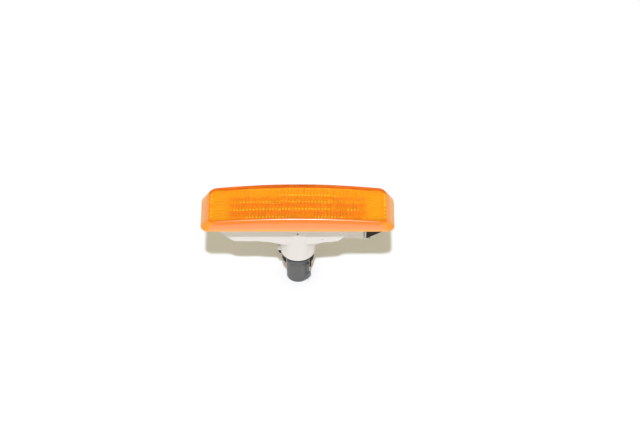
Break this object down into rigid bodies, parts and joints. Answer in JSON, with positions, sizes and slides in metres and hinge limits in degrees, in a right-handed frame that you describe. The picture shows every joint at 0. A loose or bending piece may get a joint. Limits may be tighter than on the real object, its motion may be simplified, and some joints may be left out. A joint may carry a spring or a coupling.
{
  "type": "side repeater lamp",
  "caption": "Amber car side indicator: domed lens with fluted optics on a white clip-in housing, with a twist-lock bulb holder and connector socket behind.",
  "frame": {"origin": "middle of the lens rim's back face, the seat that lies on the car's wing, on the axis of the bulb holder", "axes": "+Z out of the lens face, +X along the lens towards the spring clip, -Y towards the lens's straight long edge"},
  "size_m": [0.11, 0.033, 0.0594],
  "materials": {
    "amber_lens": "clear amber acrylic, polished outside, fluted inside",
    "white_housing": "satin moulded, off-white",
    "black_clip": "fine moulded grain",
    "seal_rubber": "dull moulded rubber",
    "grey_holder": "satin glass-filled plastic",
    "contact_brass": "stamped strip",
    "clear_glass": "clear blown glass",
    "lead_wire": "drawn wire",
    "filament": "fine coil"
  },
  "bodies": {
    "lamp": {"lens": "amber_lens", "housing": "white_housing", "retaining_clip": "black_clip"},
    "holder": {"bulb_holder": "grey_holder", "holder_seal": "seal_rubber", "contact_left": "contact_brass", "contact_right": "contact_brass", "bulb_glass": "clear_glass", "bulb_lead_left": "lead_wire", "bulb_lead_right": "lead_wire", "bulb_filament": "filament"}
  },
  "joints": [
    {"name": "bulb_holder_twist", "type": "hinge", "parent": "lamp", "child": "holder", "pos_m": [0, 0, -0.03], "axis": [0, 0, -1], "range_deg": [0, 45]}
  ]
}
